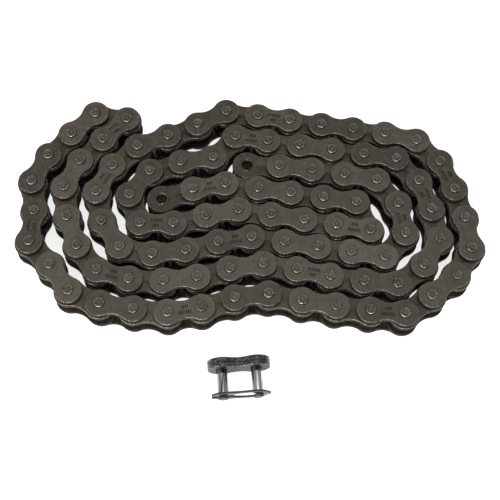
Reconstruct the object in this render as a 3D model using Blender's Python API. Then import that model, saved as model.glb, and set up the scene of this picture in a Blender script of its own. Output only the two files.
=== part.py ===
"""A 520 roller chain of 97 links lying coiled on its side, with its clip-type connecting link in front.

Frame: metres, +Z up, X along the coil's long side, origin under the middle of the whole object.
The lengths below are written in millimetres and turned into metres by MM where a mesh is made.
Joint centres are numbered from 1, the open bush at end A, to 98, the open bush at end B.
Link i joins centres i and i + 1. Odd links are inner (bush) links and even links are outer (pin) links.
"""
import bmesh
import bpy
import math
from mathutils import Matrix, Vector

MM = 0.001

# Driving dimensions of the chain
PITCH = 15.875
INNER_WIDTH = 6.35
PLATE = 2.2
PLATE_GAP = 0.15
PIN_PROUD = 0.975
PIN_R = 2.54
BUSH_R = 3.45
ROLLER_R = 5.08
INNER_END_R = 7.15
INNER_WAIST = 5.2
OUTER_END_R = 6.5
OUTER_WAIST = 4.3
END_ANGLE = 58.0
BUSH_SETBACK = 0.02
ROLLER_END_GAP = 0.125

# Radial clearances
PRESSED = 0.04
RUNNING = 0.06
SLIDING = 0.1
LOOSE = 0.4

# Heights measured from the chain's middle plane
INNER_LOW = INNER_WIDTH / 2
INNER_HIGH = INNER_LOW + PLATE
OUTER_LOW = INNER_HIGH + PLATE_GAP
OUTER_HIGH = OUTER_LOW + PLATE
PIN_END = OUTER_HIGH + PIN_PROUD
MIDDLE_Z = PIN_END

# How round things are: sides of a polygon, points round a plate's end
FINE_SIDES = 8
COARSE_SIDES = 6
CORE_SIDES = 3
FINE_END = 7
COARSE_END = 4

# How far one part of a solid reaches into the next, so that they join
SINK = 0.12

# The lay: from the fold, where the doubled chain turns back, each strand is laid towards these points.
# Each entry is x, y, how many links go that way, and the turn at each joint between them in degrees.
SHIFT = (1.228, -5.654)
FOLD = (-63.9, 68.0)
FOLD_HEADING = 172.0
FOLD_LINK = 45
DOUBLED_LINKS = 5
STRAND_A = [
    (-84.3, 43.8, 2, 3), (-90.7, 29.4, 1, 0), (-87.7, 13.5, 1, 0), (-81.4, -0.9, 1, 0), (-71.0, -12.8, 1, 0),
    (-55.7, -16.6, 1, 0), (-24.2, -14.0, 2, 10), (-9.4, -9.2, 1, 0), (6.0, -5.9, 1, 0), (37.4, -10.3, 2, -2),
    (69.3, -12.6, 2, 4), (81.5, -2.8, 1, 0), (89.6, 10.9, 1, 0), (80.2, 41.4, 2, 8), (69.5, 52.8, 1, 0),
    (-9.5, 61.1, 5, 0), (-19.8, 49.2, 1, 0), (-50.0, 39.9, 2, 9), (-59.0, 26.8, 1, 0), (-52.8, 12.2, 1, 0),
    (-21.9, 17.5, 2, 15), (-6.6, 21.5, 1, 0), (56.3, 14.1, 4, 0), (50.0, 28.3, 1, 0), (-13.1, 34.9, 4, 0),
    (-28.2, 31.4, 1, 0), (-43.0, 26.2, 1, 0)]
STRAND_B = [
    (-104.1, -0.6, 1, 0), (-82.0, -24.8, 2, -6), (-66.4, -29.9, 1, 0), (-36.1, -32.2, 2, 4), (-20.7, -28.8, 1, 0),
    (9.9, -20.6, 2, -10), (73.2, -27.2, 4, 2), (97.3, -6.8, 2, 5), (104.8, 7.6, 1, 0), (90.7, 52.5, 3, 8),
    (79.5, 63.6, 1, 0), (63.7, 66.8, 1, 0), (-15.1, 74.9, 5, 0), (-57.4, 53.2, 3, -3), (-68.6, 41.9, 1, 0),
    (-75.1, 27.6, 1, 0), (-71.0, 12.2, 1, 0), (-61.6, -0.2, 1, 0), (-45.9, -3.4, 1, 0), (-15.4, 4.2, 2, 8),
    (-0.1, 7.4, 1, 0), (63.1, 0.8, 4, 0), (73.1, 12.9, 1, 0), (70.2, 28.5, 1, 0), (59.9, 40.7, 1, 0),
    (-3.4, 46.5, 4, 2)]

# The coiled stretches between the loose ends and the movable fold: first and last link of each
STRAND_A_RUNS = [(36, 40), (31, 35), (26, 30), (20, 25), (15, 19), (9, 14), (3, 8)]
STRAND_B_RUNS = [(50, 55), (56, 61), (62, 67), (68, 73), (74, 79), (80, 84), (85, 90), (91, 95)]

# The connecting link, in its own frame: x along the link, z along its pins towards the clip.
# The side plate's front face is at z = 0.
JOINING_PLACE = (-2.5, -54.86, OUTER_END_R)
JOINING_TURN = 7.0
JOINING_PIN_R = PIN_R
NECK_R = 1.35
TIP_R = 2.0
FIXED_PLATE_BACK = -2 * PLATE - PLATE_GAP
PIN_BACK = FIXED_PLATE_BACK - 0.5
NECK_LOW = 11.4
NECK_HIGH = 12.6
PIN_FRONT = 13.75
CLIP_LOW = 11.55
CLIP_HIGH = 12.45

# The clip's outline above its middle line, from the open tail to the nose, and its slot
CLIP_TAIL = -5.4
CLIP_EDGE = [(CLIP_TAIL, 2.3), (-2.6, 4.5), (0.8, 5.2), (PITCH / 2, 4.8), (PITCH - 1.0, 5.3),
             (PITCH + 2.6, 4.3), (PITCH + 6.0, 0.6)]
CLIP_SLOT = 1.45
CLIP_WINDOW = [(4.2, CLIP_SLOT), (7.0, 2.6), (10.0, 3.2), (13.0, 3.2)]
SLOT_END_STEP = 36


def clear_scene():
    for thing in list(bpy.data.objects):
        bpy.data.objects.remove(thing, do_unlink=True)


def steel(name, colour, roughness):
    material = bpy.data.materials.new(name)
    material.use_nodes = True
    shader = material.node_tree.nodes["Principled BSDF"]
    shader.inputs["Base Color"].default_value = (*colour, 1.0)
    shader.inputs["Roughness"].default_value = roughness
    shader.inputs["Metallic"].default_value = 0.9
    return material


# Outlines, each a list of points

def circle(radius, sides, centre=(0.0, 0.0)):
    return [(centre[0] + radius * math.cos(2 * math.pi * k / sides),
             centre[1] + radius * math.sin(2 * math.pi * k / sides)) for k in range(sides)]


def bone(end_radius, waist, end_points):
    """A chain plate lying from (0, 0) to (PITCH, 0): two round ends joined by a narrower waist."""
    first = math.radians(END_ANGLE)
    step = (2 * math.pi - 2 * first) / (end_points - 1)
    end = [(end_radius * math.cos(first + step * k), end_radius * math.sin(first + step * k))
           for k in range(end_points)]
    far_end = [(PITCH - x, -y) for x, y in end]
    return end + [(PITCH / 2, -waist)] + far_end + [(PITCH / 2, waist)]


def moved(points, start, towards):
    """Points of a link's own frame, placed so that the link runs from start towards another point."""
    heading = math.atan2(towards[1] - start[1], towards[0] - start[0])
    turn = Matrix.Rotation(heading, 2)
    return [tuple(Vector(start) + turn @ Vector(point)) for point in points]


# Solids. All are in millimetres until a node is finished.

def solid_from_loops(name, loops, low, high):
    """A flat solid between two heights: the first loop is its outline and the others are holes."""
    curve = bpy.data.curves.new(name, "CURVE")
    curve.dimensions = "2D"
    curve.fill_mode = "BOTH"
    curve.extrude = (high - low) / 2
    for loop in loops:
        spline = curve.splines.new("POLY")
        spline.points.add(len(loop) - 1)
        for point, (x, y) in zip(spline.points, loop):
            point.co = (x, y, 0.0, 1.0)
        spline.use_cyclic_u = True
    drawn = bpy.data.objects.new(name, curve)
    bpy.context.scene.collection.objects.link(drawn)
    bpy.context.view_layer.update()
    evaluated = drawn.evaluated_get(bpy.context.evaluated_depsgraph_get())
    mesh = bpy.data.meshes.new_from_object(evaluated)
    bpy.data.objects.remove(drawn, do_unlink=True)
    weld(mesh)
    mesh.transform(Matrix.Translation((0.0, 0.0, (low + high) / 2)))
    return mesh


def weld(mesh):
    editable = bmesh.new()
    editable.from_mesh(mesh)
    bmesh.ops.remove_doubles(editable, verts=editable.verts, dist=0.0001)
    bmesh.ops.dissolve_limit(editable, angle_limit=math.radians(0.1), verts=editable.verts,
                             edges=editable.edges)
    bmesh.ops.recalc_face_normals(editable, faces=editable.faces)
    editable.to_mesh(mesh)
    editable.free()


def cylinder(name, radius, low, high, sides, centre=(0.0, 0.0), top_radius=None):
    """A solid cylinder, or a cone where top_radius is given."""
    mesh = bpy.data.meshes.new(name)
    editable = bmesh.new()
    place = Matrix.Translation((centre[0], centre[1], (low + high) / 2))
    bmesh.ops.create_cone(editable, cap_ends=True, segments=sides, radius1=radius,
                          radius2=radius if top_radius is None else top_radius,
                          depth=high - low, matrix=place)
    editable.to_mesh(mesh)
    editable.free()
    return mesh


def joined(name, meshes, cutters=()):
    """One mesh: the union of the meshes, less the cutters."""
    base = bpy.data.objects.new(name, meshes[0])
    bpy.context.scene.collection.objects.link(base)
    work = [(mesh, "UNION") for mesh in meshes[1:]] + [(mesh, "DIFFERENCE") for mesh in cutters]
    for mesh, operation in work:
        tool = bpy.data.objects.new(name + "_tool", mesh)
        bpy.context.scene.collection.objects.link(tool)
        modifier = base.modifiers.new(operation, "BOOLEAN")
        modifier.operation = operation
        modifier.solver = "EXACT"
        modifier.object = tool
        bpy.context.view_layer.update()
        evaluated = base.evaluated_get(bpy.context.evaluated_depsgraph_get())
        result = bpy.data.meshes.new_from_object(evaluated)
        base.modifiers.clear()
        base.data = result
        bpy.data.objects.remove(tool, do_unlink=True)
    result = base.data
    bpy.data.objects.remove(base, do_unlink=True)
    return result


def node(name, mesh, material, matrix):
    """The finished, named object: its mesh turned into metres and its origin on its own joint's axis."""
    mesh.transform(Matrix.Scale(MM, 4))
    mesh.materials.clear()
    mesh.materials.append(material)
    piece = bpy.data.objects.new(name, mesh)
    piece.matrix_world = matrix
    CHAIN.objects.link(piece)
    return piece


# Where the joint centres lie

def strand(start, route):
    """Joint centres one pitch apart, laid from start towards each point of the route in turn."""
    centres = []
    here = Vector(start)
    for x, y, links, turn in route:
        aim = math.atan2(y - here.y, x - here.x)
        for k in range(links):
            heading = aim + math.radians(turn) * (k - (links - 1) / 2)
            here = here + PITCH * Vector((math.cos(heading), math.sin(heading)))
            centres.append(here)
    return centres


def lay_chain():
    """Every joint centre by number. Next to the fold, strand B is strand A moved by the fold link."""
    heading = math.radians(FOLD_HEADING)
    fold_step = PITCH * Vector((math.cos(heading), math.sin(heading)))
    centres = {FOLD_LINK: Vector(FOLD)}
    for k, centre in enumerate(strand(FOLD, STRAND_A)):
        centres[FOLD_LINK - 1 - k] = centre
    for k in range(DOUBLED_LINKS):
        centres[FOLD_LINK + 1 + k] = centres[FOLD_LINK - k] + fold_step
    last_doubled = FOLD_LINK + DOUBLED_LINKS
    for k, centre in enumerate(strand(centres[last_doubled], STRAND_B)):
        centres[last_doubled + 1 + k] = centre
    return {number: centre + Vector(SHIFT) for number, centre in centres.items()}


def link_matrix(start, end):
    """The frame of a link that pivots at centre start and runs to centre end."""
    here = CENTRES[start]
    there = CENTRES[end]
    heading = math.atan2(there.y - here.y, there.x - here.x)
    place = Matrix.Translation((here.x * MM, here.y * MM, MIDDLE_Z * MM))
    return place @ Matrix.Rotation(heading, 4, "Z")


# Link pieces, each in its link's own frame

def bore_radius():
    """Corner radius of an octagonal bore in which the octagonal pin can turn."""
    return (PIN_R + RUNNING) / math.cos(math.pi / FINE_SIDES)


def inner_plate(low, high):
    hole = BUSH_R + PRESSED
    loops = [bone(INNER_END_R, INNER_WAIST, FINE_END),
             circle(hole, FINE_SIDES), circle(hole, FINE_SIDES, (PITCH, 0.0))]
    return solid_from_loops("inner_plate", loops, low, high)


def outer_plate(low, high, hole=PIN_R + PRESSED):
    loops = [bone(OUTER_END_R, OUTER_WAIST, FINE_END),
             circle(hole, FINE_SIDES), circle(hole, FINE_SIDES, (PITCH, 0.0))]
    return solid_from_loops("outer_plate", loops, low, high)


def bush(x):
    loops = [circle(BUSH_R, FINE_SIDES, (x, 0.0)), circle(bore_radius(), FINE_SIDES, (x, 0.0))]
    half = INNER_HIGH - BUSH_SETBACK
    return solid_from_loops("bush", loops, -half, half)


def roller(x):
    hole = (BUSH_R + RUNNING) / math.cos(math.pi / FINE_SIDES)
    loops = [circle(ROLLER_R, FINE_SIDES, (x, 0.0)), circle(hole, FINE_SIDES, (x, 0.0))]
    half = INNER_LOW - ROLLER_END_GAP
    return solid_from_loops("roller", loops, -half, half)


def pin(x):
    return cylinder("pin", PIN_R, -PIN_END, PIN_END, FINE_SIDES, (x, 0.0))


def separate_inner_link(prefix, start, end):
    """An inner link in its six pieces. The pieces at the start pivot are numbered 1."""
    place = link_matrix(start, end)
    node(prefix + "_inner_plate_top", inner_plate(INNER_LOW, INNER_HIGH), DARK_STEEL, place)
    node(prefix + "_inner_plate_bottom", inner_plate(-INNER_HIGH, -INNER_LOW), DARK_STEEL, place)
    for number, x in ((1, 0.0), (2, PITCH)):
        node(f"{prefix}_bush_{number}", bush(x), BRIGHT_STEEL, place)
        node(f"{prefix}_roller_{number}", roller(x), BRIGHT_STEEL, place)


def separate_outer_link(prefix, start, end):
    """An outer link in its four pieces. The pin at the start pivot is number 1."""
    place = link_matrix(start, end)
    node(prefix + "_outer_plate_top", outer_plate(OUTER_LOW, OUTER_HIGH), DARK_STEEL, place)
    node(prefix + "_outer_plate_bottom", outer_plate(-OUTER_HIGH, -OUTER_LOW), DARK_STEEL, place)
    for number, x in ((1, 0.0), (2, PITCH)):
        node(f"{prefix}_pin_{number}", pin(x), PIN_STEEL, place)


def whole_inner_link(name, start, end):
    """An inner link pressed together: two plates and two bored barrels."""
    outline = bone(INNER_END_R, INNER_WAIST, FINE_END)
    pieces = [solid_from_loops(name, [outline], INNER_LOW, INNER_HIGH),
              solid_from_loops(name, [outline], -INNER_HIGH, -INNER_LOW)]
    cutters = []
    for x in (0.0, PITCH):
        reach = INNER_LOW + SINK
        pieces.append(cylinder(name, ROLLER_R, -reach, reach, FINE_SIDES, (x, 0.0)))
        cutters.append(cylinder(name, bore_radius(), -PIN_END, PIN_END, FINE_SIDES, (x, 0.0)))
    node(name, joined(name, pieces, cutters), DARK_STEEL, link_matrix(start, end))


def whole_outer_link(name, start, end):
    """An outer link riveted together: two plates on two pins."""
    outline = bone(OUTER_END_R, OUTER_WAIST, FINE_END)
    pieces = [solid_from_loops(name, [outline], OUTER_LOW, OUTER_HIGH),
              solid_from_loops(name, [outline], -OUTER_HIGH, -OUTER_LOW),
              pin(0.0),
              pin(PITCH)]
    node(name, joined(name, pieces), DARK_STEEL, link_matrix(start, end))


# Coiled stretches

def is_inner(link):
    return link % 2 == 1


def run_plates(link, origin):
    """The two plates of one link, in a frame that is only moved to origin and not turned."""
    if is_inner(link):
        outline, low, high = bone(INNER_END_R, INNER_WAIST, COARSE_END), INNER_LOW, INNER_HIGH
    else:
        outline, low, high = bone(OUTER_END_R, OUTER_WAIST, COARSE_END), OUTER_LOW, OUTER_HIGH
    start = CENTRES[link] - origin
    end = CENTRES[link + 1] - origin
    points = moved(outline, start, end)
    return [solid_from_loops("plate", [points], low, high), solid_from_loops("plate", [points], -high, -low)]


def run_joint(centre):
    """What holds two links of one run together: a core through the plates, two pin heads and a roller."""
    reach = INNER_LOW + SINK
    head_from = OUTER_LOW + PLATE / 2
    return [cylinder("core", PIN_R - SINK, -head_from, head_from, CORE_SIDES, centre),
            cylinder("head", PIN_R, head_from - SINK, PIN_END, COARSE_SIDES, centre),
            cylinder("head", PIN_R, -PIN_END, -head_from + SINK, COARSE_SIDES, centre),
            cylinder("roller", ROLLER_R, -reach, reach, COARSE_SIDES, centre)]


def run_end(link, number, centre):
    """The open end of a run: a pin for the next run's bush, or a bored barrel for the next run's pin."""
    movable = number in MOVABLE_CENTRES
    sides = FINE_SIDES if movable else COARSE_SIDES
    if not is_inner(link):
        return [cylinder("pin", PIN_R, -PIN_END, PIN_END, sides, centre)], []
    reach = INNER_LOW + SINK
    bore = bore_radius() if movable else PIN_R + LOOSE
    return ([cylinder("barrel", ROLLER_R, -reach, reach, sides, centre)],
            [cylinder("bore", bore, -PIN_END, PIN_END, sides, centre)])


def run_node(name, first, last):
    """A coiled stretch of links as one solid, open at both ends where its neighbours join it."""
    origin = CENTRES[first]
    pieces = []
    cutters = []
    for link in range(first, last + 1):
        if link > first:
            pieces += run_joint(CENTRES[link] - origin)
        pieces += run_plates(link, origin)
    for link, number in ((first, first), (last, last + 1)):
        added, cut = run_end(link, number, CENTRES[number] - origin)
        pieces += added
        cutters += cut
    place = Matrix.Translation((origin.x * MM, origin.y * MM, MIDDLE_Z * MM))
    return node(name, joined(name, pieces, cutters), DARK_STEEL, place)


# The connecting link

def joining_matrix():
    place = Matrix.Translation(Vector((JOINING_PLACE[0] + SHIFT[0], JOINING_PLACE[1] + SHIFT[1],
                                       JOINING_PLACE[2])) * MM)
    turn = Matrix.Rotation(math.radians(JOINING_TURN), 4, "Z")
    stand_up = Matrix.Rotation(math.radians(90), 4, "X")
    return place @ turn @ stand_up @ Matrix.Translation((-PITCH / 2 * MM, 0.0, 0.0))


def grooved_pin(x):
    """A pin with the neck that the spring clip grips near its front end."""
    name = "grooved_pin"
    centre = (x, 0.0)
    return joined(name, [cylinder(name, JOINING_PIN_R, PIN_BACK, NECK_LOW, FINE_SIDES, centre),
                         cylinder(name, NECK_R, NECK_LOW - SINK, NECK_HIGH + SINK, FINE_SIDES, centre),
                         cylinder(name, JOINING_PIN_R, NECK_HIGH, PIN_FRONT, FINE_SIDES, centre, TIP_R)])


def clip_outline():
    """Fish-shaped sheet with a slot that is open at the tail, widest between the pins and round at the nose."""
    slot_end = [(PITCH + CLIP_SLOT * math.sin(math.radians(a)), -CLIP_SLOT * math.cos(math.radians(a)))
                for a in range(0, 181, SLOT_END_STEP)]
    return (CLIP_EDGE + [(x, -y) for x, y in reversed(CLIP_EDGE)]
            + [(CLIP_TAIL, -CLIP_SLOT)] + [(x, -y) for x, y in CLIP_WINDOW] + slot_end
            + CLIP_WINDOW[::-1] + [(CLIP_TAIL, CLIP_SLOT)])


def connecting_link():
    place = joining_matrix()
    pressed_hole = JOINING_PIN_R + PRESSED
    sliding_hole = JOINING_PIN_R + SLIDING
    side_low = FIXED_PLATE_BACK + PLATE + PLATE_GAP
    node("joining_fixed_plate", outer_plate(FIXED_PLATE_BACK, FIXED_PLATE_BACK + PLATE, pressed_hole),
         DARK_STEEL, place)
    node("joining_side_plate", outer_plate(side_low, side_low + PLATE, sliding_hole), DARK_STEEL, place)
    for number, x in ((1, 0.0), (2, PITCH)):
        node(f"joining_pin_{number}", grooved_pin(x), BRIGHT_STEEL, place)
    node("spring_clip", solid_from_loops("spring_clip", [clip_outline()], CLIP_LOW, CLIP_HIGH), CLIP_STEEL, place)


clear_scene()
CHAIN = bpy.data.collections.new("drive_chain")
bpy.context.scene.collection.children.link(CHAIN)
DARK_STEEL = steel("dark_steel", (0.075, 0.068, 0.058), 0.45)
PIN_STEEL = steel("pin_steel", (0.16, 0.155, 0.145), 0.4)
BRIGHT_STEEL = steel("bright_steel", (0.45, 0.45, 0.43), 0.25)
CLIP_STEEL = steel("clip_steel", (0.09, 0.09, 0.09), 0.35)
CENTRES = lay_chain()
MOVABLE_CENTRES = (3, 41, 50, 96)

separate_inner_link("end_a", 2, 1)
separate_outer_link("end_a", 3, 2)
separate_outer_link("end_b", 96, 97)
separate_inner_link("end_b", 97, 98)

whole_inner_link("tail_a1_inner_link", 41, 42)
whole_outer_link("tail_a2_outer_link", 42, 43)
whole_inner_link("tail_a3_inner_link", 43, 44)
separate_outer_link("tail_a4", 44, 45)
separate_inner_link("fold", 45, 46)
whole_inner_link("tail_b1_inner_link", 50, 49)
whole_outer_link("tail_b2_outer_link", 49, 48)
whole_inner_link("tail_b3_inner_link", 48, 47)
separate_outer_link("tail_b4", 47, 46)

for letter, runs in (("a", STRAND_A_RUNS), ("b", STRAND_B_RUNS)):
    for number, (first, last) in enumerate(runs, 1):
        run_node(f"strand_{letter}_run_{number}", first, last)

connecting_link()
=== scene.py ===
"""The looks of the coiled roller chain and its connecting link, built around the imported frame.

Shapes are made in millimetres in a link's own frame and placed in the row frame in metres.
In a link's frame x runs from one joint centre to the other and z is the height from the middle plane.
"""
import bmesh
import bpy
import math
import random
from mathutils import Matrix, Vector, noise


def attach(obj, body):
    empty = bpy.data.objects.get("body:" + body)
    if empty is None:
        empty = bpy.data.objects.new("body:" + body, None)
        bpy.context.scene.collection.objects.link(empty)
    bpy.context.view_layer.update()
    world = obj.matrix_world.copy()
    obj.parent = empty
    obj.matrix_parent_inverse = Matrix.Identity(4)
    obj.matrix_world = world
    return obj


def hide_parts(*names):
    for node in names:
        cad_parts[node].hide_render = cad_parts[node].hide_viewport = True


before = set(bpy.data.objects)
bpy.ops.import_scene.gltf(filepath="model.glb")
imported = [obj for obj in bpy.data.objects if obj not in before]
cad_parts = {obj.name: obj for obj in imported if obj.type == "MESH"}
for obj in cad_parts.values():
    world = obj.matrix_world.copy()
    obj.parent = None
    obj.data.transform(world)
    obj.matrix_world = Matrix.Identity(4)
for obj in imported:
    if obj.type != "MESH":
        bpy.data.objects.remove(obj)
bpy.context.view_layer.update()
MM = 0.001
SEED = 520
DICE = random.Random(SEED)
noise.seed_set(SEED)

# Driving dimensions, as in the CAD source
PITCH = 15.875
INNER_WIDTH = 6.35
PLATE = 2.2
PLATE_GAP = 0.15
PIN_PROUD = 0.975
PIN_R = 2.54
BUSH_R = 3.45
ROLLER_R = 5.08
INNER_END_R = 7.15
INNER_WAIST = 5.2
OUTER_END_R = 6.5
OUTER_WAIST = 4.3
INNER_LOW = INNER_WIDTH / 2
INNER_HIGH = INNER_LOW + PLATE
OUTER_LOW = INNER_HIGH + PLATE_GAP
OUTER_HIGH = OUTER_LOW + PLATE
PIN_END = OUTER_HIGH + PIN_PROUD
MIDDLE_Z = PIN_END

# The lay, as in the CAD source: x, y, how many links go that way, and the turn at each joint between them
SHIFT = (1.228, -5.654)
FOLD = (-63.9, 68.0)
FOLD_HEADING = 172.0
FOLD_LINK = 45
DOUBLED_LINKS = 5
STRAND_A = [
    (-84.3, 43.8, 2, 3), (-90.7, 29.4, 1, 0), (-87.7, 13.5, 1, 0), (-81.4, -0.9, 1, 0), (-71.0, -12.8, 1, 0),
    (-55.7, -16.6, 1, 0), (-24.2, -14.0, 2, 10), (-9.4, -9.2, 1, 0), (6.0, -5.9, 1, 0), (37.4, -10.3, 2, -2),
    (69.3, -12.6, 2, 4), (81.5, -2.8, 1, 0), (89.6, 10.9, 1, 0), (80.2, 41.4, 2, 8), (69.5, 52.8, 1, 0),
    (-9.5, 61.1, 5, 0), (-19.8, 49.2, 1, 0), (-50.0, 39.9, 2, 9), (-59.0, 26.8, 1, 0), (-52.8, 12.2, 1, 0),
    (-21.9, 17.5, 2, 15), (-6.6, 21.5, 1, 0), (56.3, 14.1, 4, 0), (50.0, 28.3, 1, 0), (-13.1, 34.9, 4, 0),
    (-28.2, 31.4, 1, 0), (-43.0, 26.2, 1, 0)]
STRAND_B = [
    (-104.1, -0.6, 1, 0), (-82.0, -24.8, 2, -6), (-66.4, -29.9, 1, 0), (-36.1, -32.2, 2, 4), (-20.7, -28.8, 1, 0),
    (9.9, -20.6, 2, -10), (73.2, -27.2, 4, 2), (97.3, -6.8, 2, 5), (104.8, 7.6, 1, 0), (90.7, 52.5, 3, 8),
    (79.5, 63.6, 1, 0), (63.7, 66.8, 1, 0), (-15.1, 74.9, 5, 0), (-57.4, 53.2, 3, -3), (-68.6, 41.9, 1, 0),
    (-75.1, 27.6, 1, 0), (-71.0, 12.2, 1, 0), (-61.6, -0.2, 1, 0), (-45.9, -3.4, 1, 0), (-15.4, 4.2, 2, 8),
    (-0.1, 7.4, 1, 0), (63.1, 0.8, 4, 0), (73.1, 12.9, 1, 0), (70.2, 28.5, 1, 0), (59.9, 40.7, 1, 0),
    (-3.4, 46.5, 4, 2)]
STRAND_A_RUNS = [(36, 40), (31, 35), (26, 30), (20, 25), (15, 19), (9, 14), (3, 8)]
STRAND_B_RUNS = [(50, 55), (56, 61), (62, 67), (68, 73), (74, 79), (80, 84), (85, 90), (91, 95)]

# The connecting link, in its own frame: x along the link, z along its pins towards the clip
JOINING_PLACE = (-2.5, -54.86, OUTER_END_R)
JOINING_TURN = 7.0
JOINING_PIN_R = PIN_R
NECK_R = 1.35
FIXED_PLATE_BACK = -2 * PLATE - PLATE_GAP
PIN_BACK = FIXED_PLATE_BACK - 0.5
NECK_LOW = 11.4
NECK_HIGH = 12.6
PIN_FRONT = 13.75
CLIP_LOW = 11.55
CLIP_HIGH = 12.45
CLIP_TAIL = -5.4
CLIP_EDGE = [(CLIP_TAIL, 2.3), (-2.6, 4.5), (0.8, 5.2), (PITCH / 2, 4.8), (PITCH - 1.0, 5.3),
             (PITCH + 2.6, 4.3), (PITCH + 6.0, 0.6)]
CLIP_SLOT = 1.45
CLIP_WINDOW = [(4.2, CLIP_SLOT), (7.0, 2.6), (10.0, 3.2), (13.0, 3.2)]

# Fine detail that the CAD leaves out
OUTWARD_ROUND = 0.38
INWARD_ROUND = 0.16
FLAT_BORDER = 1.0
HOLE_CHAMFER = 0.16
# A rim: pairs of the edge value and the value for stamps and painted shade, from the plate's wall up round its outward
# edge. The first rim paints shade on the wall and the foot of the rounding; the second paints none.
OILY_AND_SHADED_RIM = ((0.2, 0.9), (0.5, 0.7), (1.0, 0.1), (1.0, 0.0), (0.6, 0.0))
BARE_RIM = ((0.8, 0.0), (0.9, 0.0), (1.0, 0.0), (1.0, 0.0), (0.6, 0.0))
FLAT_SOFTENING = 0.12
HOLE_SIDES, PIN_SIDES, BUSH_SIDES, ROLLER_SIDES = 24, 24, 28, 32
PRESSED_HOLE = -0.03
PIN_IN_BUSH_GAP = 0.06
BUSH_PROUD = 0.02
ROLLER_END_GAP, ROLLER_BORE_GAP = 0.13, 0.07
FIXED_HOLE, LOOSE_HOLE = 0.02, 0.1
CLIP_ROUND = 0.14
SHARP_ANGLE = math.radians(38)

# Stamps: every sixth link from the second has one, their depth, and how far their lip and floor are drawn in
MARKED_EVERY, MARKED_FIRST = 6, 2
MARK_DEPTH = 0.1
MARK_LIP, MARK_LIP_DROP, MARK_FLOOR = 0.97, 0.01, 0.82

# Chance: how far tones spread about 1, and how uneven surfaces are in millimetres
PLATE_TONES = (0.78, 1.22)
TURNED_TONES = (0.85, 1.15)
PLATE_UNEVENNESS, PIN_UNEVENNESS = 0.02, 0.08
UNEVENNESS_SCALE = 0.9

# Steel along an edge, darker partly from dirt and partly as painted shade; the plates' colour in a stamp, which also
# paints shade on their walls; metallic and specular in stamps and under the painted shade of walls, bores and pin tips
EDGE_DIRT_AND_SHADE = (0.02, 0.018, 0.015)
DARK_STAMP_AND_WALL_SHADE = (0.015, 0.011, 0.009)
SPECULAR = 0.4
STAMP_AND_SHADE_METALLIC, STAMP_AND_SHADE_SPECULAR = 0.1, 0.02
BUMP_DISTANCE = 0.12


# Templates: closed shapes in a link's own frame, with an edge value on rounded edges for rubbed patches and for a
# darkening that is partly dirt and partly painted shade, and a value that darkens stamps and paints shade on plate
# walls, in bores and on pin tips

class Template:
    """A mesh built ring by ring."""

    def __init__(self):
        self.mesh = bmesh.new()
        self.wear_and_shade = self.mesh.verts.layers.float.new("edge_wear_and_shade")
        self.stamp_and_shade = self.mesh.verts.layers.float.new("stamp_and_shade")

    def ring(self, points, z, wear_and_shade=0.0, stamp_and_shade=0.0):
        made = []
        for x, y in points:
            vertex = self.mesh.verts.new((x, y, z))
            vertex[self.wear_and_shade] = wear_and_shade
            vertex[self.stamp_and_shade] = stamp_and_shade
            made.append(vertex)
        return made

    def band(self, rings):
        for lower, upper in zip(rings, rings[1:]):
            for k in range(len(lower)):
                after = (k + 1) % len(lower)
                self.mesh.faces.new((lower[k], lower[after], upper[after], upper[k]))

    def cap(self, *rings):
        edges = []
        for ring in rings:
            for k in range(len(ring)):
                pair = (ring[k], ring[(k + 1) % len(ring)])
                edges.append(self.mesh.edges.get(pair) or self.mesh.edges.new(pair))
        bmesh.ops.triangle_fill(self.mesh, use_beauty=True, use_dissolve=False, edges=edges)

    def done(self):
        """The template as plain lists: points, faces, edge values, and values for stamps and painted shade."""
        bmesh.ops.recalc_face_normals(self.mesh, faces=self.mesh.faces)
        self.mesh.verts.index_update()
        points = [v.co.copy() for v in self.mesh.verts]
        faces = [[v.index for v in f.verts] for f in self.mesh.faces]
        wear_and_shade = [v[self.wear_and_shade] for v in self.mesh.verts]
        stamp_and_shade = [v[self.stamp_and_shade] for v in self.mesh.verts]
        self.mesh.free()
        return points, faces, wear_and_shade, stamp_and_shade


def circle(radius, sides, centre=(0.0, 0.0)):
    return [(centre[0] + radius * math.cos(2 * math.pi * k / sides),
             centre[1] + radius * math.sin(2 * math.pi * k / sides)) for k in range(sides)]


def plate_outline(end_radius, waist, inset, end_steps=20, waist_steps=7):
    """A plate's edge moved inwards by inset: two round ends and two hollow arcs that meet them smoothly."""
    half = PITCH / 2
    drop = end_radius - waist
    hollow_y = (half * half - drop * drop) / (2 * drop)
    hollow_radius = hollow_y - waist + inset
    meet = math.atan2(hollow_y, half)
    end = [(math.cos(a) * (end_radius - inset), math.sin(a) * (end_radius - inset))
           for a in (meet + (2 * math.pi - 2 * meet) * k / end_steps for k in range(end_steps + 1))]
    sweep = math.pi - 2 * meet
    hollow = [(half + hollow_radius * math.cos(a), -hollow_y + hollow_radius * math.sin(a))
              for a in (math.pi - meet - sweep * k / waist_steps for k in range(1, waist_steps))]
    side = end + hollow
    return side + [(PITCH - x, -y) for x, y in side]


def quarter_round(radius, steps):
    """Pairs of inset and height drop, from the wall to the flat."""
    return [(radius * (1 - math.cos(a)), radius * (1 - math.sin(a)))
            for a in (math.pi / 2 * k / steps for k in range(steps + 1))]


def slanted_bar(x, y, width, height, lean):
    """The four corners of one short slanted stroke of a stamp."""
    return [(x - width / 2 - lean, y - height / 2), (x + width / 2 - lean, y - height / 2),
            (x + width / 2 + lean, y + height / 2), (x - width / 2 + lean, y + height / 2)]


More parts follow.
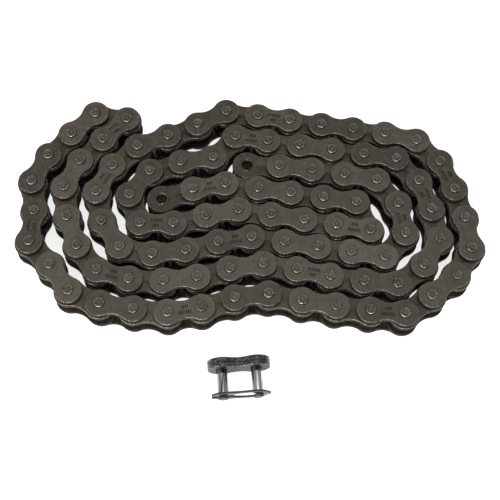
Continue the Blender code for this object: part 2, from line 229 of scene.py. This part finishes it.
def two_rows():
    """Stamp of an outer plate: a long and a short row of slanted strokes, which say nothing."""
    long_row = [slanted_bar(PITCH / 2 - 2.5 + 0.85 * k, -1.35, 0.42, 1.75 - 0.25 * (k % 2), 0.18) for k in range(7)]
    short_row = [slanted_bar(PITCH / 2 - 0.9 + 0.8 * k, 1.4, 0.42, 1.7 - 0.2 * (k % 2), 0.18) for k in range(4)]
    return long_row + short_row


def one_spot():
    """Stamp of an inner plate: two tiny strokes."""
    return [slanted_bar(PITCH / 2 - 0.4 + 0.8 * k, 0.0, 0.26, 1.1, 0.1) for k in range(2)]


def plate_template(end_radius, waist, hole, stamps=(), rim=OILY_AND_SHADED_RIM):
    """A plate PLATE thick lying on z = 0, its outward face up, its outline rounded and its holes chamfered.

    The rim gives the edge value and the value for stamps and painted shade from the wall of the plate up round its
    outward edge.
    """
    made = Template()

    def outline(inset, z, wear_and_shade, stamp_and_shade=0.0):
        return made.ring(plate_outline(end_radius, waist, inset), z, wear_and_shade, stamp_and_shade)

    lower = [outline(FLAT_BORDER, 0.0, 0.0)]
    lower += [outline(inset, drop, *rim[0]) for inset, drop in reversed(quarter_round(INWARD_ROUND, 2))]
    upper = [outline(inset, PLATE - drop, *values)
             for (inset, drop), values in zip(quarter_round(OUTWARD_ROUND, len(rim) - 1), rim)]
    upper += [outline(OUTWARD_ROUND + FLAT_SOFTENING, PLATE, 0.2), outline(FLAT_BORDER, PLATE, 0.0)]
    made.band(lower + upper)
    under, over = [lower[0]], [upper[-1]]
    for x in (0.0, PITCH):
        rings = [made.ring(circle(radius, HOLE_SIDES, (x, 0.0)), z)
                 for radius, z in ((hole + HOLE_CHAMFER, 0.0), (hole, HOLE_CHAMFER),
                                   (hole, PLATE - HOLE_CHAMFER), (hole + HOLE_CHAMFER, PLATE))]
        made.band(rings)
        under.append(rings[0])
        over.append(rings[-1])
    for corners in stamps:
        middle = sum((Vector(c) for c in corners), Vector((0, 0))) / 4
        edge = made.ring(corners, PLATE)
        lip = made.ring([tuple(middle + (Vector(c) - middle) * MARK_LIP) for c in corners],
                        PLATE - MARK_LIP_DROP, 0.0, 0.8)
        floor = made.ring([tuple(middle + (Vector(c) - middle) * MARK_FLOOR) for c in corners],
                          PLATE - MARK_DEPTH, 0.0, 1.0)
        made.band([edge, lip, floor])
        made.mesh.faces.new(floor)
        over.append(edge)
    made.cap(*under)
    made.cap(*over)
    return made.done()


def lathe_template(profile, sides, centre_x=0.0, closed_ring=False):
    """A turned part about z: profile is (radius, z, edge value), with a value for stamps and painted shade after them
    where there is one.
    """
    made = Template()
    rings = [made.ring(circle(radius, sides, (centre_x, 0.0)), z, *values) for radius, z, *values in profile]
    made.band(rings)
    if closed_ring:
        made.band([rings[-1], rings[0]])
    else:
        made.cap(rings[0])
        made.cap(rings[-1])
    return made.done()


def riveted_pin():
    """A pin whose ends are spread and dented by riveting. It is not quite round, and each one is turned anew."""
    half = [(PIN_R - 0.05, OUTER_HIGH - 0.3, 0.0), (PIN_R - 0.03, OUTER_HIGH + 0.1, 0.0),
            (PIN_R, OUTER_HIGH + 0.45, 0.1), (PIN_R - 0.01, OUTER_HIGH + 0.62, 0.4),
            (PIN_R - 0.12, PIN_END - 0.16, 1.0), (PIN_R - 0.3, PIN_END - 0.04, 1.0), (PIN_R - 0.5, PIN_END, 0.8),
            (PIN_R - 0.8, PIN_END - 0.04, 0.2), (PIN_R - 1.15, PIN_END - 0.2, 0.0),
            (PIN_R - 1.6, PIN_END - 0.24, 0.0), (PIN_R - 2.1, PIN_END - 0.16, 0.15), (PIN_R - 2.4, PIN_END - 0.14, 0.2)]
    profile = [(radius, -z, wear_and_shade) for radius, z, wear_and_shade in reversed(half)] + half
    return lathe_template(profile, PIN_SIDES)


def bush_template(x, bore):
    """A plain bush pressed into both inner plates, its ends chamfered inside and out."""
    end = INNER_HIGH + BUSH_PROUD
    rim = BUSH_R - 0.04
    # The bore is painted shade, from just inside its chamfers.
    return lathe_template([(rim, -end + 0.14, 0.3), (rim, end - 0.14, 0.3), (rim - 0.14, end, 0.8),
                           (bore + 0.2, end, 0.8), (bore, end - 0.2, 0.2, 0.6), (bore, end - 0.4, 0.0, 1.0),
                           (bore, -end + 0.2, 0.0, 1.0), (bore + 0.2, -end, 0.8, 0.3), (rim - 0.14, -end, 0.8)],
                          BUSH_SIDES, x, closed_ring=True)


def roller_template(x):
    """A roller with rounded corners, loose on its bush."""
    half = INNER_LOW - ROLLER_END_GAP
    bore = BUSH_R + ROLLER_BORE_GAP
    return lathe_template([(ROLLER_R - 0.35, -half, 0.3), (ROLLER_R - 0.1, -half + 0.1, 0.8),
                           (ROLLER_R, -half + 0.35, 0.8), (ROLLER_R, half - 0.35, 0.8),
                           (ROLLER_R - 0.1, half - 0.1, 0.8), (ROLLER_R - 0.35, half, 0.3),
                           (bore + 0.2, half, 0.2), (bore, half - 0.2, 0.0), (bore, -half + 0.2, 0.0),
                           (bore + 0.2, -half, 0.2)], ROLLER_SIDES, x, closed_ring=True)


def grooved_pin(x):
    """The connecting link's polished pin, with the neck that the clip grips and a chamfered tip."""
    r = JOINING_PIN_R
    return lathe_template([
        (r - 0.9, PIN_BACK + 0.06, 0.2), (r - 0.35, PIN_BACK, 0.6), (r - 0.08, PIN_BACK + 0.12, 1.0),
        (r, PIN_BACK + 0.35, 0.5), (r, NECK_LOW - 0.15, 0.0), (r - 0.15, NECK_LOW, 0.6),
        (NECK_R + 0.08, NECK_LOW, 0.0), (NECK_R, NECK_LOW + 0.1, 0.0), (NECK_R, NECK_HIGH - 0.1, 0.0),
        # From the neck up, the tip is painted shade.
        (NECK_R + 0.08, NECK_HIGH, 0.0), (r - 0.12, NECK_HIGH, 0.4, 0.8), (r, NECK_HIGH + 0.12, 0.4, 0.8),
        (r, NECK_HIGH + 0.3, 0.3, 0.9), (r - 0.3, PIN_FRONT - 0.2, 0.6, 0.9), (r - 0.62, PIN_FRONT, 0.4, 0.95),
        (r - 1.1, PIN_FRONT - 0.05, 0.0, 0.95), (r - 1.9, PIN_FRONT - 0.02, 0.0, 0.9)], ROLLER_SIDES, x)


def smooth_side(points, steps):
    """A Catmull-Rom curve through the points."""
    padded = [points[0]] + list(points) + [points[-1]]
    made = []
    for k in range(1, len(padded) - 2):
        p0, p1, p2, p3 = (Vector(padded[k + j]) for j in (-1, 0, 1, 2))
        for s in range(steps):
            t = s / steps
            made.append(tuple(0.5 * (2 * p1 + (p2 - p0) * t + (2 * p0 - 5 * p1 + 4 * p2 - p3) * t * t
                                     + (3 * p1 - p0 - 3 * p2 + p3) * t ** 3)))
    return made + [tuple(points[-1])]


def shrunk(points, inset):
    """A clockwise or anticlockwise outline moved inwards by inset."""
    area = sum(a[0] * b[1] - b[0] * a[1] for a, b in zip(points, points[1:] + points[:1]))
    side = 1 if area > 0 else -1
    made = []
    for k, here in enumerate(points):
        before = (Vector(here) - Vector(points[k - 1])).normalized()
        after = (Vector(points[(k + 1) % len(points)]) - Vector(here)).normalized()
        mean = (before + after).normalized()
        out = Vector((mean.y, -mean.x)) * side
        stretch = 1 / max(0.5, mean.dot(before))
        made.append(tuple(Vector(here) - out * inset * stretch))
    return made


def clip_template():
    """The fish-shaped spring clip: slotted from its tail to a round eye at its nose."""
    upper = smooth_side(CLIP_EDGE, 5)
    lower = [(x, -y) for x, y in reversed(upper)]
    window = smooth_side(CLIP_WINDOW, 4)
    slot_end = [(PITCH + CLIP_SLOT * math.sin(math.radians(a)), -CLIP_SLOT * math.cos(math.radians(a)))
                for a in range(0, 181, 15)]
    outline = (upper + lower + [(CLIP_TAIL, -CLIP_SLOT)] + [(x, -y) for x, y in window] + slot_end
               + window[::-1] + [(CLIP_TAIL, CLIP_SLOT)])
    made = Template()
    near = CLIP_ROUND * 0.3
    rings = [made.ring(shrunk(outline, inset), z, wear_and_shade)
             for inset, z, wear_and_shade in ((CLIP_ROUND, CLIP_LOW, 0.6), (near, CLIP_LOW + near, 1.0),
                                    (0.0, CLIP_LOW + CLIP_ROUND, 0.6), (0.0, CLIP_HIGH - CLIP_ROUND, 0.6),
                                    (near, CLIP_HIGH - near, 1.0), (CLIP_ROUND, CLIP_HIGH, 0.6))]
    made.band(rings)
    made.cap(rings[0])
    made.cap(rings[-1])
    return made.done()


# Materials

def tint(nodes, links, factor, first, second):
    """A colour mix node; first and second are colours or sockets."""
    mix = nodes.new("ShaderNodeMix")
    mix.data_type = "RGBA"
    links.new(factor, mix.inputs["Factor"])
    for socket, value in ((mix.inputs["A"], first), (mix.inputs["B"], second)):
        if isinstance(value, tuple):
            socket.default_value = (*value, 1.0)
        else:
            links.new(value, socket)
    return mix.outputs["Result"]


def steel(name, dark, light, oil, oil_share, bright, rough, metallic=0.85, grain=3.5, mottle=0.4, bump=0.3, stamp_and_shade=None,
          worn_share=0.4, edge_shade=0.5, drawn_out=1.0):
    """Oiled steel: mottled between dark and light, stained with oil, darker at its edges, partly from dirt and partly
    as painted shade, except where they are rubbed.

    oil_share, worn_share and edge_shade say how strongly oil, bright rubbed patches and dark edges cover it; rough is
    the least and the greatest roughness. The colour given for stamps darkens them, and in bores, on plate walls and on
    pin tips it is painted shade.
    Below 1, drawn_out makes the mottling long along Y; on the polished pins that paints streaks of reflection along
    them.
    """
    material = bpy.data.materials.new(name)
    material.use_nodes = True
    nodes, links = material.node_tree.nodes, material.node_tree.links
    shader = nodes["Principled BSDF"]
    place = nodes.new("ShaderNodeMapping")
    place.inputs["Scale"].default_value = (1 / MM, drawn_out / MM, 1 / MM)
    links.new(nodes.new("ShaderNodeTexCoord").outputs["Object"], place.inputs["Vector"])

    def cloud(scale, detail, low, high, distortion=0.0):
        pattern = nodes.new("ShaderNodeTexNoise")
        pattern.inputs["Scale"].default_value = scale
        pattern.inputs["Detail"].default_value = detail
        pattern.inputs["Distortion"].default_value = distortion
        links.new(place.outputs["Vector"], pattern.inputs["Vector"])
        return spread(pattern.outputs["Fac"], low, high), pattern.outputs["Fac"]

    def spread(socket, low, high, to_low=0.0, to_high=1.0):
        ranged = nodes.new("ShaderNodeMapRange")
        ranged.interpolation_type = "SMOOTHSTEP"
        links.new(socket, ranged.inputs["Value"])
        for key, value in (("From Min", low), ("From Max", high), ("To Min", to_low), ("To Max", to_high)):
            ranged.inputs[key].default_value = value
        return ranged.outputs["Result"]

    def combined(operation, first, second):
        maths = nodes.new("ShaderNodeMath")
        maths.operation = operation
        for socket, value in ((maths.inputs[0], first), (maths.inputs[1], second)):
            if isinstance(value, float):
                socket.default_value = value
            else:
                links.new(value, socket)
        return maths.outputs["Value"]

    def painted(attribute):
        reader = nodes.new("ShaderNodeAttribute")
        reader.attribute_name = attribute
        return reader.outputs["Fac"]

    mottling, mottling_raw = cloud(mottle, 5.0, 0.32, 0.68, 0.4)
    graining, grain_raw = cloud(grain, 3.0, 0.35, 0.72)
    staining, _ = cloud(0.16, 5.0, 0.42, 0.8, 0.5)
    rubbing, rubbing_raw = cloud(1.3, 4.0, 0.38, 0.6)
    colour = tint(nodes, links, combined("MULTIPLY", mottling, 0.7), dark, light)
    colour = tint(nodes, links, combined("MULTIPLY", graining, 0.5), colour, light)
    colour = tint(nodes, links, combined("MULTIPLY", staining, oil_share), colour, oil)
    tone = nodes.new("ShaderNodeMix")
    tone.data_type = "RGBA"
    tone.blend_type = "MULTIPLY"
    tone.inputs["Factor"].default_value = 1.0
    links.new(colour, tone.inputs["A"])
    tones = nodes.new("ShaderNodeCombineColor")
    own_tone = painted("tone")
    for channel in ("Red", "Green", "Blue"):
        links.new(own_tone, tones.inputs[channel])
    links.new(tones.outputs["Color"], tone.inputs["B"])
    colour = tone.outputs["Result"]
    wear_and_shade = painted("edge_wear_and_shade")
    # Darker along the edges: partly dirt and partly painted shade.
    colour = tint(nodes, links, combined("MULTIPLY", wear_and_shade, edge_shade), colour, EDGE_DIRT_AND_SHADE)
    worn = combined("MULTIPLY", wear_and_shade, spread(rubbing, 0.1, 1.0, 0.05, worn_share))
    colour = tint(nodes, links, worn, colour, bright)
    shader.inputs["Metallic"].default_value = metallic
    shader.inputs["Specular IOR Level"].default_value = SPECULAR
    # Darker in stamps; on plate walls, in bores and on pin tips it is painted shade, and metallic and specular fall
    # with it.
    if stamp_and_shade is not None:
        stamp_and_shade_mask = painted("stamp_and_shade")
        colour = tint(nodes, links, stamp_and_shade_mask, colour, stamp_and_shade)
        links.new(spread(stamp_and_shade_mask, 0.0, 1.0, metallic, STAMP_AND_SHADE_METALLIC), shader.inputs["Metallic"])
        links.new(spread(stamp_and_shade_mask, 0.0, 1.0, SPECULAR, STAMP_AND_SHADE_SPECULAR), shader.inputs["Specular IOR Level"])
    links.new(colour, shader.inputs["Base Color"])
    roughness = spread(combined("ADD", combined("MULTIPLY", mottling_raw, 0.6), combined("MULTIPLY", grain_raw, 0.4)),
                       0.35, 0.65, rough[0], rough[1])
    links.new(roughness, shader.inputs["Roughness"])
    height = combined("ADD", combined("MULTIPLY", grain_raw, 0.5), combined("MULTIPLY", rubbing_raw, 0.5))
    relief = nodes.new("ShaderNodeBump")
    relief.inputs["Strength"].default_value = bump
    relief.inputs["Distance"].default_value = BUMP_DISTANCE * MM
    links.new(height, relief.inputs["Height"])
    links.new(relief.outputs["Normal"], shader.inputs["Normal"])
    return material


OUTER_STEEL = steel("outer_plate_steel", (0.062, 0.054, 0.043), (0.13, 0.12, 0.102), (0.076, 0.057, 0.032), 0.6,
                    (0.42, 0.4, 0.36), (0.32, 0.52), grain=2.0, stamp_and_shade=DARK_STAMP_AND_WALL_SHADE)
INNER_STEEL = steel("inner_plate_steel", (0.048, 0.041, 0.033), (0.108, 0.097, 0.08), (0.078, 0.053, 0.027), 0.8,
                    (0.38, 0.35, 0.3), (0.32, 0.52), grain=2.0, stamp_and_shade=DARK_STAMP_AND_WALL_SHADE)
PIN_STEEL = steel("pin_end_steel", (0.06, 0.055, 0.047), (0.135, 0.126, 0.11), (0.06, 0.046, 0.03), 0.5,
                  (0.4, 0.385, 0.345), (0.28, 0.5), grain=1.9, mottle=0.9, bump=1.0, worn_share=0.6, edge_shade=0.4)
ROLLER_STEEL = steel("roller_steel", (0.016, 0.014, 0.012), (0.045, 0.04, 0.035), (0.03, 0.02, 0.011), 0.5,
                     (0.16, 0.15, 0.13), (0.3, 0.46), bump=0.15)
BUSH_STEEL = steel("bush_steel", (0.05, 0.043, 0.035), (0.11, 0.095, 0.078), (0.1, 0.06, 0.03), 0.8,
                   # The bush's colour for its bore is a painted shade, nearly black.
                   (0.2, 0.15, 0.1), (0.35, 0.55), bump=0.2, stamp_and_shade=(0.002, 0.002, 0.002), edge_shade=0.2)
JOINING_STEEL = steel("joining_plate_steel", (0.018, 0.018, 0.017), (0.046, 0.046, 0.044), (0.02, 0.017, 0.014), 0.4,
                      (0.3, 0.29, 0.27), (0.34, 0.48), grain=2.2, mottle=0.9, bump=0.2, worn_share=0.5, edge_shade=0.3)
# The light colour, drawn out along the polished pins, paints streaks of reflection on them; their tips take painted
# shade.
POLISHED_STEEL = steel("polished_pin_steel", (0.03, 0.03, 0.027), (0.95, 0.94, 0.9), (0.04, 0.036, 0.03), 0.5,
                       (0.15, 0.15, 0.14), (0.1, 0.2), metallic=1.0, grain=1.4, mottle=0.62, bump=0.05,
                       stamp_and_shade=(0.012, 0.012, 0.011), edge_shade=0.8, drawn_out=0.03)
CLIP_STEEL = steel("clip_steel", (0.018, 0.018, 0.019), (0.05, 0.051, 0.052), (0.03, 0.027, 0.022), 0.3,
                   (0.2, 0.2, 0.2), (0.24, 0.4), bump=0.15, worn_share=0.5, edge_shade=0.3)


# Placing the templates

def strand(start, route):
    """Joint centres one pitch apart, laid from start towards each point of the route in turn."""
    centres = []
    here = Vector(start)
    for x, y, links, turn in route:
        aim = math.atan2(y - here.y, x - here.x)
        for k in range(links):
            heading = aim + math.radians(turn) * (k - (links - 1) / 2)
            here = here + PITCH * Vector((math.cos(heading), math.sin(heading)))
            centres.append(here)
    return centres


def lay_chain():
    """Every joint centre by number. Next to the fold, strand B is strand A moved by the fold link."""
    heading = math.radians(FOLD_HEADING)
    fold_step = PITCH * Vector((math.cos(heading), math.sin(heading)))
    centres = {FOLD_LINK: Vector(FOLD)}
    for k, centre in enumerate(strand(FOLD, STRAND_A)):
        centres[FOLD_LINK - 1 - k] = centre
    for k in range(DOUBLED_LINKS):
        centres[FOLD_LINK + 1 + k] = centres[FOLD_LINK - k] + fold_step
    last_doubled = FOLD_LINK + DOUBLED_LINKS
    for k, centre in enumerate(strand(centres[last_doubled], STRAND_B)):
        centres[last_doubled + 1 + k] = centre
    return {number: centre + Vector(SHIFT) for number, centre in centres.items()}


CENTRES = lay_chain()


def link_frame(start, end):
    """From a link's own frame to the row frame, still in millimetres."""
    here, there = CENTRES[start], CENTRES[end]
    heading = math.atan2(there.y - here.y, there.x - here.x)
    return Matrix.Translation((here.x, here.y, MIDDLE_Z)) @ Matrix.Rotation(heading, 4, "Z")


def at_height(low, face_down=False):
    """Puts a plate template with its lower face at a height, its outward face up or down."""
    if face_down:
        return Matrix.Translation((0.0, 0.0, low + PLATE)) @ Matrix.Scale(-1, 4, (0.0, 0.0, 1.0))
    return Matrix.Translation((0.0, 0.0, low))


def piece(name, parts, material, body, nodes):
    """One visible piece from placed templates: parts are (template, matrix, tone, roughening)."""
    points, faces, wear_and_shade, stamp_and_shade, tones = [], [], [], [], []
    for (p, f, w, m), matrix, tone, unevenness in parts:
        first = len(points)
        flipped = matrix.determinant() < 0
        seed = Vector((DICE.uniform(0, 99), DICE.uniform(0, 99), DICE.uniform(0, 99)))
        for point in p:
            moved = matrix @ (point + noise.noise_vector(point * UNEVENNESS_SCALE + seed) * unevenness)
            points.append(moved * MM)
        faces += [[first + k for k in (reversed(face) if flipped else face)] for face in f]
        wear_and_shade += w
        stamp_and_shade += m
        tones += [tone] * len(p)
    mesh = bpy.data.meshes.new(name)
    mesh.from_pydata(points, [], faces)
    for attribute, values in (("edge_wear_and_shade", wear_and_shade), ("stamp_and_shade", stamp_and_shade), ("tone", tones)):
        mesh.attributes.new(attribute, "FLOAT", "POINT").data.foreach_set("value", values)
    mesh.polygons.foreach_set("use_smooth", [True] * len(mesh.polygons))
    mesh.set_sharp_from_angle(angle=SHARP_ANGLE)
    mesh.materials.append(material)
    made = bpy.data.objects.new(name, mesh)
    bpy.context.scene.collection.objects.link(made)
    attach(made, body)
    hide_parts(*nodes)
    return made


INNER_PLATE = plate_template(INNER_END_R, INNER_WAIST, BUSH_R + PRESSED_HOLE, one_spot())
PLAIN_INNER_PLATE = plate_template(INNER_END_R, INNER_WAIST, BUSH_R + PRESSED_HOLE)
OUTER_PLATE = plate_template(OUTER_END_R, OUTER_WAIST, PIN_R + PRESSED_HOLE)
MARKED_OUTER_PLATE = plate_template(OUTER_END_R, OUTER_WAIST, PIN_R + PRESSED_HOLE, two_rows())
PIN = riveted_pin()
BUSH = bush_template(0.0, PIN_R + PIN_IN_BUSH_GAP)
ROLLER = roller_template(0.0)


def is_inner(link):
    return link % 2 == 1


def plate_parts(link, start, end):
    """The top and bottom plate of a link, each ready for piece()."""
    place = link_frame(start, end)
    turned = place @ Matrix.Translation((PITCH / 2, 0, 0)) @ Matrix.Rotation(
        math.pi * DICE.randrange(2), 4, "Z") @ Matrix.Translation((-PITCH / 2, 0, 0))
    if is_inner(link):
        top, bottom = INNER_PLATE, PLAIN_INNER_PLATE
        low = INNER_LOW
    else:
        top = MARKED_OUTER_PLATE if link % MARKED_EVERY == MARKED_FIRST else OUTER_PLATE
        bottom = OUTER_PLATE
        low = OUTER_LOW
    return ((top, turned @ at_height(low), DICE.uniform(*PLATE_TONES), PLATE_UNEVENNESS),
            (bottom, turned @ at_height(-low - PLATE, True), DICE.uniform(*PLATE_TONES), PLATE_UNEVENNESS))


def turned_part(template, place, x, unevenness=0.0):
    """A pin, bush or roller at x in a link, turned about its own axis by chance."""
    spin = Matrix.Rotation(DICE.uniform(0, 2 * math.pi), 4, "Z")
    return template, place @ Matrix.Translation((x, 0, 0)) @ spin, DICE.uniform(*TURNED_TONES), unevenness


def separate_inner_link(link, prefix, start, end, body, roller_bodies):
    """An inner link that the CAD has in six solids."""
    place = link_frame(start, end)
    for level, part in zip(("top", "bottom"), plate_parts(link, start, end)):
        node = f"{prefix}_inner_plate_{level}"
        piece("fine_" + node, [part], INNER_STEEL, body, [node])
    for number, x in ((1, 0.0), (2, PITCH)):
        node = f"{prefix}_bush_{number}"
        piece("fine_" + node, [turned_part(BUSH, place, x)], BUSH_STEEL, body, [node])
        node = f"{prefix}_roller_{number}"
        piece("fine_" + node, [turned_part(ROLLER, place, x)], ROLLER_STEEL,
              roller_bodies[number - 1], [node])


def separate_outer_link(link, prefix, start, end, body):
    """An outer link that the CAD has in four solids."""
    place = link_frame(start, end)
    for level, part in zip(("top", "bottom"), plate_parts(link, start, end)):
        node = f"{prefix}_outer_plate_{level}"
        piece("fine_" + node, [part], OUTER_STEEL, body, [node])
    for number, x in ((1, 0.0), (2, PITCH)):
        node = f"{prefix}_pin_{number}"
        pin = turned_part(PIN, place, x, PIN_UNEVENNESS)
        piece("fine_" + node, [pin], PIN_STEEL, body, [node])


def stretch(node, links, body):
    """The fine pieces that stand for one CAD solid: links is a list of (link, start, end)."""
    inner, outer, pins, bushes, rollers = [], [], [], [], []
    for link, start, end in links:
        place = link_frame(start, end)
        (inner if is_inner(link) else outer).extend(plate_parts(link, start, end))
        for x in (0.0, PITCH):
            if is_inner(link):
                bushes.append(turned_part(BUSH, place, x))
                rollers.append(turned_part(ROLLER, place, x))
            else:
                pins.append(turned_part(PIN, place, x, PIN_UNEVENNESS))
    for kind, parts, material, slot in (
            ("inner_plates", inner, INNER_STEEL, "dark_steel"), ("outer_plates", outer, OUTER_STEEL, "dark_steel"),
            ("pins", pins, PIN_STEEL, "pin_steel"), ("bushes", bushes, BUSH_STEEL, "bright_steel"),
            ("rollers", rollers, ROLLER_STEEL, "bright_steel")):
        if parts:
            piece(f"{node}_{kind}", parts, material, body, [node])


separate_inner_link(1, "end_a", 2, 1, "end_a_link", ("end_a_roller_1", "end_a_roller_2"))
separate_outer_link(2, "end_a", 3, 2, "coil")
separate_outer_link(96, "end_b", 96, 97, "coil")
separate_inner_link(97, "end_b", 97, 98, "end_b_link", ("end_b_roller_1", "end_b_roller_2"))
separate_outer_link(44, "tail_a4", 44, 45, "tail_a4")
separate_inner_link(45, "fold", 45, 46, "fold_link", ("fold_roller_1", "fold_roller_2"))
separate_outer_link(46, "tail_b4", 47, 46, "tail_b4")
for link, start, end, body, node in ((41, 41, 42, "tail_a1", "tail_a1_inner_link"),
                                     (42, 42, 43, "tail_a2", "tail_a2_outer_link"),
                                     (43, 43, 44, "tail_a3", "tail_a3_inner_link"),
                                     (49, 50, 49, "tail_b1", "tail_b1_inner_link"),
                                     (48, 49, 48, "tail_b2", "tail_b2_outer_link"),
                                     (47, 48, 47, "tail_b3", "tail_b3_inner_link")):
    stretch(node, [(link, start, end)], body)
for letter, runs in (("a", STRAND_A_RUNS), ("b", STRAND_B_RUNS)):
    for number, (first, last) in enumerate(runs, 1):
        stretch(f"strand_{letter}_run_{number}", [(link, link, link + 1) for link in range(first, last + 1)], "coil")


# The connecting link

def joining_frame():
    """From the connecting link's own frame to the row frame, still in millimetres."""
    place = Matrix.Translation(Vector((JOINING_PLACE[0] + SHIFT[0], JOINING_PLACE[1] + SHIFT[1], JOINING_PLACE[2])))
    turn = Matrix.Rotation(math.radians(JOINING_TURN), 4, "Z")
    stand_up = Matrix.Rotation(math.radians(90), 4, "X")
    return place @ turn @ stand_up @ Matrix.Translation((-PITCH / 2, 0.0, 0.0))


JOINING = joining_frame()
SIDE_LOW = FIXED_PLATE_BACK + PLATE + PLATE_GAP
piece("fine_joining_fixed_plate",
      [(plate_template(OUTER_END_R, OUTER_WAIST, JOINING_PIN_R + FIXED_HOLE, rim=BARE_RIM),
        JOINING @ at_height(FIXED_PLATE_BACK, True), 0.75, 0.0)],
      JOINING_STEEL, "joining_link", ["joining_fixed_plate"])
piece("fine_joining_side_plate",
      [(plate_template(OUTER_END_R, OUTER_WAIST, JOINING_PIN_R + LOOSE_HOLE, rim=BARE_RIM),
        JOINING @ at_height(SIDE_LOW), 1.2, 0.0)],
      JOINING_STEEL, "side_plate", ["joining_side_plate"])
for number, x in ((1, 0.0), (2, PITCH)):
    piece(f"fine_joining_pin_{number}", [(grooved_pin(x), JOINING, 1.0, 0.0)], POLISHED_STEEL,
          "joining_link", [f"joining_pin_{number}"])
piece("fine_spring_clip", [(clip_template(), JOINING, 1.0, 0.0)], CLIP_STEEL, "clip", ["spring_clip"])


# Floor, light and camera

FLOOR_REACH = 4.0
SENSOR_WIDTH, LENS = 36.0, 77.92
CAMERA_ELEVATION, CAMERA_ROLL = math.radians(66.92), math.radians(2.70)
CAMERA_DISTANCE = 0.5072


def pale_floor():
    """An even white ground that glows a little, so that it stays pale."""
    material = bpy.data.materials.new("pale_floor")
    material.use_nodes = True
    shader = material.node_tree.nodes["Principled BSDF"]
    shader.inputs["Base Color"].default_value = (0.93, 0.93, 0.93, 1.0)
    shader.inputs["Roughness"].default_value = 0.8
    shader.inputs["Specular IOR Level"].default_value = 0.1
    shader.inputs["Emission Color"].default_value = (1.0, 1.0, 1.0, 1.0)
    shader.inputs["Emission Strength"].default_value = 0.75
    mesh = bpy.data.meshes.new("floor")
    corners = [(x * FLOOR_REACH, y * FLOOR_REACH, 0) for x, y in ((-1, -1), (1, -1), (1, 1), (-1, 1))]
    mesh.from_pydata(corners, [], [(0, 1, 2, 3)])
    mesh.materials.append(material)
    floor = bpy.data.objects.new("floor", mesh)
    bpy.context.scene.collection.objects.link(floor)


def soft_box(name, place, width, depth, power):
    """A rectangular lamp aimed at the middle of the floor."""
    lamp = bpy.data.lights.new(name, "AREA")
    lamp.shape = "RECTANGLE"
    lamp.size, lamp.size_y = width, depth
    lamp.energy = power
    box = bpy.data.objects.new(name, lamp)
    box.location = place
    box.rotation_mode = "QUATERNION"
    box.rotation_quaternion = (-Vector(place)).to_track_quat("-Z", "Y")
    bpy.context.scene.collection.objects.link(box)


def camera():
    """Looks down on the chain from in front, with a slight roll."""
    lens = bpy.data.cameras.new("camera")
    lens.sensor_width = SENSOR_WIDTH
    lens.lens = LENS
    lens.clip_start, lens.clip_end = 0.01, 20.0
    made = bpy.data.objects.new("camera", lens)
    bpy.context.scene.collection.objects.link(made)
    target = Vector((SHIFT[0] * MM, SHIFT[1] * MM, 2 * MIDDLE_Z * MM))
    back = Vector((0.0, -math.cos(CAMERA_ELEVATION), math.sin(CAMERA_ELEVATION)))
    right = Vector((1.0, 0.0, 0.0))
    up = Vector((0.0, math.sin(CAMERA_ELEVATION), math.cos(CAMERA_ELEVATION)))
    rolled_right = right * math.cos(CAMERA_ROLL) + up * math.sin(CAMERA_ROLL)
    rolled_up = up * math.cos(CAMERA_ROLL) - right * math.sin(CAMERA_ROLL)
    turn = Matrix((rolled_right, rolled_up, back)).transposed()
    made.matrix_world = Matrix.Translation(target + back * CAMERA_DISTANCE) @ turn.to_4x4()
    bpy.context.scene.camera = made


pale_floor()
world = bpy.data.worlds.new("studio")
world.use_nodes = True
world.node_tree.nodes["Background"].inputs["Color"].default_value = (1.0, 1.0, 1.0, 1.0)
world.node_tree.nodes["Background"].inputs["Strength"].default_value = 0.45
bpy.context.scene.world = world
soft_box("overhead", (0.0, 0.25, 1.0), 0.8, 0.6, 1.5)
soft_box("front", (-0.2, -1.0, 0.42), 0.9, 0.1, 16.0)
soft_box("left", (-0.8, -0.45, 0.55), 0.4, 0.4, 2.0)
camera()
bpy.context.scene.view_settings.view_transform = "Standard"
